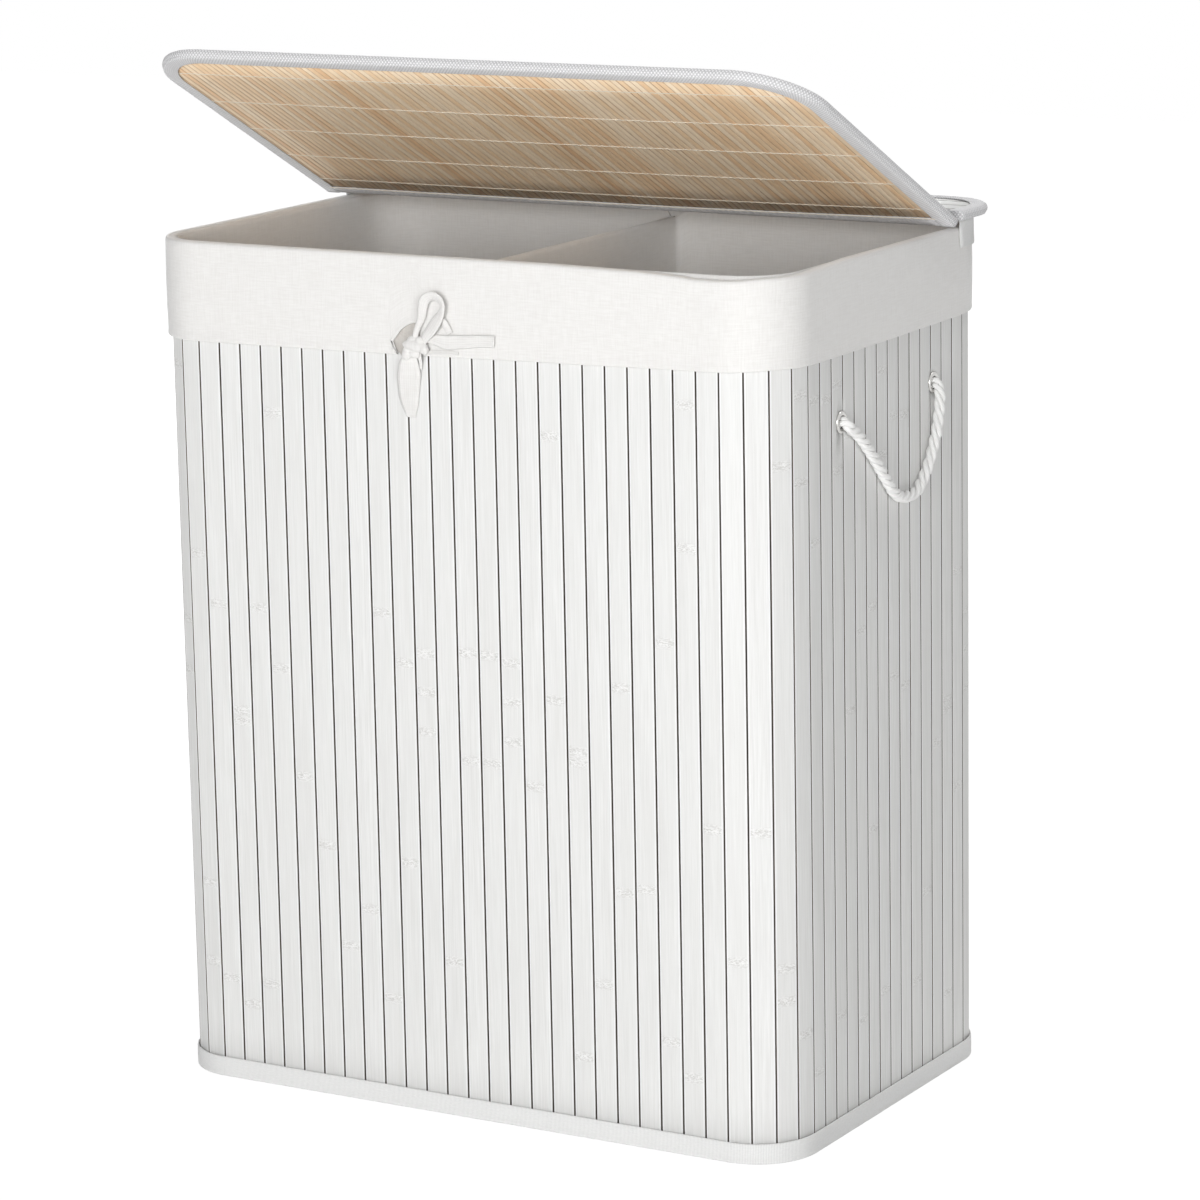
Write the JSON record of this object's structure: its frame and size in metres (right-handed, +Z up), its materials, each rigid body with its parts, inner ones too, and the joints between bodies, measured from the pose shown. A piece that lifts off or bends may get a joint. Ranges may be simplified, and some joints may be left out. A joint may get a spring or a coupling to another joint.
{
  "type": "laundry hamper with two bins",
  "caption": "Folding laundry hamper of upright bamboo slats, with a divided cotton liner, a hinged lid on a fixed rear flap and rope handles on its short sides.",
  "frame": {"origin": "middle of the base's underside, on the floor", "axes": "+X along the front to the side with the nearer handle in the picture, +Y from the front to the rear, +Z up"},
  "size_m": [0.544, 0.3493, 0.7677],
  "materials": {
    "white_slats": "white-washed bamboo slats with a fine grain, satin",
    "natural_bamboo": "natural matchstick bamboo mat, sewn in rows, satin",
    "white_edging": "woven off-white edging tape, matt",
    "liner_cotton": "plain-woven off-white cotton, matt",
    "cotton_tape": "loose-woven white cotton tape, matt",
    "white_rope": "three-strand twisted cotton rope",
    "eyelet_metal": "nickel-plated, polished",
    "rod_steel": "drawn wire rod, satin",
    "socket_plastic": "moulded polypropylene",
    "fibreboard": "pressed fibreboard, matt"
  },
  "bodies": {
    "body": {"front_slat_panel": "white_slats", "rear_slat_panel": "white_slats", "left_slat_panel": "white_slats", "right_slat_panel": "white_slats", "front_left_corner_slats": "white_slats", "front_right_corner_slats": "white_slats", "rear_left_corner_slats": "white_slats", "rear_right_corner_slats": "white_slats", "bottom_binding": "white_edging", "top_binding": "white_edging", "base_cloth": "white_edging", "base_board": "fibreboard", "lower_cross_rod": "rod_steel", "upper_cross_rod": "rod_steel", "front_left_rod_socket": "socket_plastic", "front_right_rod_socket": "socket_plastic", "rear_left_rod_socket": "socket_plastic", "rear_right_rod_socket": "socket_plastic", "liner_cuff": "liner_cotton", "left_bin_liner": "liner_cotton", "right_bin_liner": "liner_cotton", "bin_divider": "liner_cotton", "right_front_eyelet": "eyelet_metal", "right_rear_eyelet": "eyelet_metal", "left_front_eyelet": "eyelet_metal", "left_rear_eyelet": "eyelet_metal", "right_front_eyelet_washer": "eyelet_metal", "right_rear_eyelet_washer": "eyelet_metal", "left_front_eyelet_washer": "eyelet_metal", "left_rear_eyelet_washer": "eyelet_metal", "right_front_rope_knot": "white_rope", "right_rear_rope_knot": "white_rope", "left_front_rope_knot": "white_rope", "left_rear_rope_knot": "white_rope", "tie_knot": "cotton_tape", "tie_loop": "cotton_tape", "tie_side_tail": "cotton_tape", "tie_down_tail": "cotton_tape", "rear_skirt": "white_edging", "flap_slat_sheet": "white_slats", "flap_core_board": "fibreboard", "flap_bamboo_mat": "natural_bamboo", "flap_edging": "white_edging", "flap_hinge_band": "white_edging"},
    "lid": {"lid_slat_sheet": "white_slats", "lid_core_board": "fibreboard", "lid_bamboo_mat": "natural_bamboo", "lid_edging": "white_edging", "lid_hinge_band": "white_edging"},
    "right_handle": {"right_handle_rope": "white_rope"},
    "left_handle": {"left_handle_rope": "white_rope"}
  },
  "joints": [
    {"name": "lid_hinge", "type": "hinge", "parent": "body", "child": "lid", "pos_m": [0, 0.096, 0.6442], "axis": [-1, 0, 0], "range_deg": [-27.6, 150.4]},
    {"name": "right_handle_swing", "type": "hinge", "parent": "body", "child": "right_handle", "pos_m": [0.2654, 0, 0.52], "axis": [0, -0.9991, -0.0416], "range_deg": [0, 150]},
    {"name": "left_handle_swing", "type": "hinge", "parent": "body", "child": "left_handle", "pos_m": [-0.2654, 0, 0.52], "axis": [0, 0.9991, 0.0416], "range_deg": [0, 150]}
  ]
}
